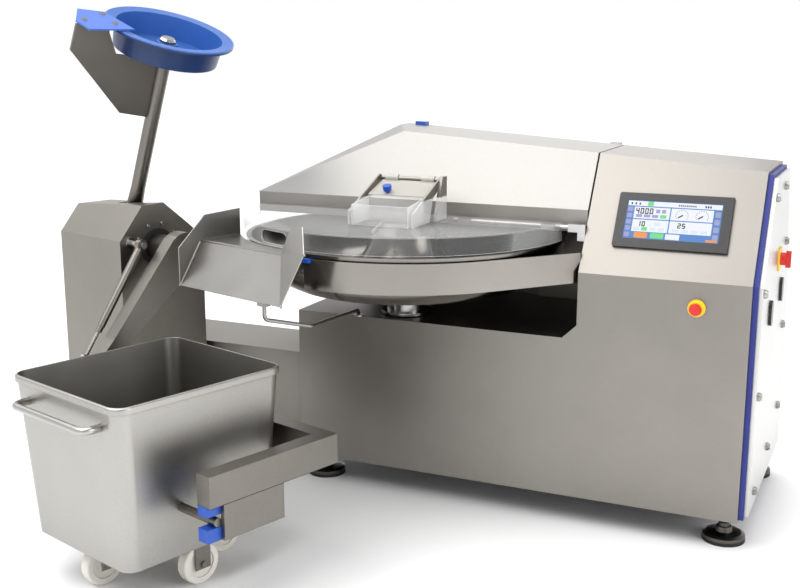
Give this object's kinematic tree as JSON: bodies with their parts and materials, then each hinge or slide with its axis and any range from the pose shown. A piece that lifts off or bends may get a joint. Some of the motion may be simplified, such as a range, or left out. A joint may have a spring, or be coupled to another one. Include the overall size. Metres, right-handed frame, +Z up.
{
  "type": "meat bowl cutter with trolley loader",
  "caption": "Stainless bowl cutter with turning bowl, knife shaft under a hinged lid, clear bowl cover, trolley loader, disc unloader and control cabinet.",
  "frame": {"origin": "centre of the underside of the front left foot of the base, on the floor", "axes": "+X to the right along the front panel, +Y to the back, +Z up"},
  "size_m": [2.7183, 2.2398, 1.8656],
  "materials": {
    "stainless": "satin",
    "stainless_light": "satin",
    "bowl_steel": "polished",
    "tub_steel": "blasted",
    "blade_steel": "polished",
    "bright_steel": "polished",
    "frame_steel": "satin",
    "motor_grey": "painted",
    "blue_plastic": "satin",
    "seal_blue": "matte",
    "clear_plastic": "clear",
    "nylon_cream": "satin",
    "black_plastic": "satin",
    "black_rubber": "matte",
    "yellow_plastic": "gloss",
    "red_plastic": "gloss",
    "screen_glass": "gloss"
  },
  "bodies": {
    "machine": {"base_housing": "stainless", "cabinet_housing": "stainless", "inner_frames": "frame_steel", "foot_pads": "black_rubber", "foot_plates": "frame_steel", "side_seal": "seal_blue", "side_service_panel": "stainless", "panel_knobs": "black_plastic", "switch_plates": "yellow_plastic", "display_bezel": "black_plastic", "display_screen": "screen_glass", "bowl_gearmotor": "motor_grey", "shaft_bearings": "bright_steel", "bowl_apron": "stainless", "band_bumper": "blue_plastic", "knife_bearing_housing": "stainless", "knife_motor": "motor_grey", "drive_belt": "black_rubber", "rear_housing": "stainless", "column_housing": "stainless", "column_gearmotors": "motor_grey", "column_seal_ring": "black_rubber", "ring_screws": "bright_steel", "connecting_duct": "stainless", "chute": "stainless_light"},
    "bowl_body": {"bowl": "bowl_steel", "bowl_shaft": "bright_steel"},
    "knife_body": {"knife_shaft": "blade_steel", "knives": "blade_steel"},
    "motor_body": {"motor_pulley": "frame_steel"},
    "lid_body": {"knife_lid": "stainless_light", "lid_hinge": "bright_steel", "lid_stop_cap": "blue_plastic"},
    "cover_body": {"bowl_cover": "clear_plastic", "cover_hinge": "bright_steel", "hopper_box": "clear_plastic", "hopper_frame": "stainless"},
    "flap_body": {"hopper_flap": "clear_plastic", "hopper_knob": "blue_plastic"},
    "unloader_body": {"unloader_arm": "stainless_light", "scraper_holder": "stainless", "scraper_blade": "blue_plastic"},
    "disc_body": {"unloader_disc": "blue_plastic", "disc_hub_cap": "bright_steel"},
    "loader_body": {"loader_arm": "stainless", "loader_fork": "stainless", "fork_guide_blocks": "blue_plastic"},
    "strut_body": {"strut_barrel": "bright_steel"},
    "strut_rod_body": {"strut_rod": "bright_steel"},
    "trolley_body": {"trolley_tub": "tub_steel", "trolley_handle": "stainless_light", "trolley_brackets": "stainless"},
    "castor_front": {"castor_front_yoke": "bright_steel"},
    "castor_rear": {"castor_rear_yoke": "bright_steel"},
    "castor_front_roller": {"castor_front_wheel": "nylon_cream"},
    "castor_rear_roller": {"castor_rear_wheel": "nylon_cream"},
    "left_roller": {"wheel_left": "nylon_cream"},
    "right_roller": {"wheel_right": "nylon_cream"},
    "e_stop_body": {"e_stop_button": "red_plastic"},
    "switch_body": {"main_switch_handle": "red_plastic"}
  },
  "joints": [
    {"name": "bowl_spin", "type": "hinge", "parent": "machine", "child": "bowl_body", "pos_m": [0.346, 0.03, 0.9], "axis": [0, 0, 1], "continuous": true},
    {"name": "knife_spin", "type": "hinge", "parent": "machine", "child": "knife_body", "pos_m": [0.346, 0.395, 1.062], "axis": [1, 0, 0], "continuous": true},
    {"name": "motor_spin", "type": "hinge", "parent": "machine", "child": "motor_body", "pos_m": [1.392, 0.34, 0.4], "axis": [1, 0, 0], "continuous": true},
    {"name": "lid_hinge", "type": "hinge", "parent": "machine", "child": "lid_body", "pos_m": [0.642, 0.524, 1.336], "axis": [-1, 0, 0], "range_deg": [0, 70]},
    {"name": "cover_hinge", "type": "hinge", "parent": "machine", "child": "cover_body", "pos_m": [0.742, -0.022, 1.086], "axis": [-1, 0, 0], "range_deg": [0, 50]},
    {"name": "flap_hinge", "type": "hinge", "parent": "cover_body", "child": "flap_body", "pos_m": [0.417, -0.09, 1.24], "axis": [-1, 0, 0], "range_deg": [0, 60]},
    {"name": "unloader_swing", "type": "hinge", "parent": "machine", "child": "unloader_body", "pos_m": [-0.733, -0.255, 1.044], "axis": [0, -1, 0], "range_deg": [-39, 0]},
    {"name": "disc_spin", "type": "hinge", "parent": "unloader_body", "child": "disc_body", "pos_m": [-0.45579, -0.3319, 1.77761], "axis": [0.3518, -0.0976, 0.931], "continuous": true},
    {"name": "loader_swing", "type": "hinge", "parent": "machine", "child": "loader_body", "pos_m": [-0.55158, -0.33891, 0.954], "axis": [-0.9537, 0.3007, 0], "range_deg": [0, 105]},
    {"name": "strut_hinge", "type": "hinge", "parent": "machine", "child": "strut_body", "pos_m": [-0.51884, -0.4845, 0.986], "axis": [-0.9537, 0.3007, 0], "range_deg": [0, 131.3]},
    {"name": "strut_slide", "type": "slide", "parent": "strut_body", "child": "strut_rod_body", "axis": [-0.1719, -0.5453, -0.8204], "range_m": [-0.0136, 0]},
    {"name": "trolley_roll", "type": "slide", "parent": "loader_body", "child": "trolley_body", "axis": [0.3007, 0.9537, 0], "range_m": [-0.6, 0]},
    {"name": "castor_front_swivel", "type": "hinge", "parent": "trolley_body", "child": "castor_front", "pos_m": [-0.20503, -1.22514, 0.147], "axis": [0, 0, 1], "continuous": true},
    {"name": "castor_front_roll", "type": "hinge", "parent": "castor_front", "child": "castor_front_roller", "pos_m": [-0.19361, -1.1889, 0.07], "axis": [-0.9537, 0.3007, 0], "continuous": true},
    {"name": "castor_rear_swivel", "type": "hinge", "parent": "trolley_body", "child": "castor_rear", "pos_m": [0.0071, -0.85164, 0.147], "axis": [0, 0, 1], "continuous": true},
    {"name": "castor_rear_roll", "type": "hinge", "parent": "castor_rear", "child": "castor_rear_roller", "pos_m": [0.01852, -0.8154, 0.07], "axis": [-0.9537, 0.3007, 0], "continuous": true},
    {"name": "wheel_left_roll", "type": "hinge", "parent": "trolley_body", "child": "left_roller", "pos_m": [-0.25926, -0.94486, 0.07], "axis": [0.9537, -0.3007, 0], "continuous": true},
    {"name": "wheel_right_roll", "type": "hinge", "parent": "trolley_body", "child": "right_roller", "pos_m": [0.08598, -1.05372, 0.07], "axis": [0.9537, -0.3007, 0], "continuous": true},
    {"name": "e_stop_press", "type": "slide", "parent": "machine", "child": "e_stop_body", "axis": [0, 1, 0], "range_m": [0, 0.006], "stiffness_N_per_m": 600},
    {"name": "main_switch_turn", "type": "hinge", "parent": "machine", "child": "switch_body", "pos_m": [1.702, 0.316, 0.969], "axis": [1, 0, 0], "range_deg": [0, 90]}
  ],
  "couplings": [
    {"joint": "motor_spin", "follows": "knife_spin", "ratio": 1},
    {"joint": "strut_hinge", "follows": "loader_swing", "ratio": 1.2495},
    {"joint": "strut_slide", "follows": "loader_swing", "m_per_rad": -0.00737}
  ]
}
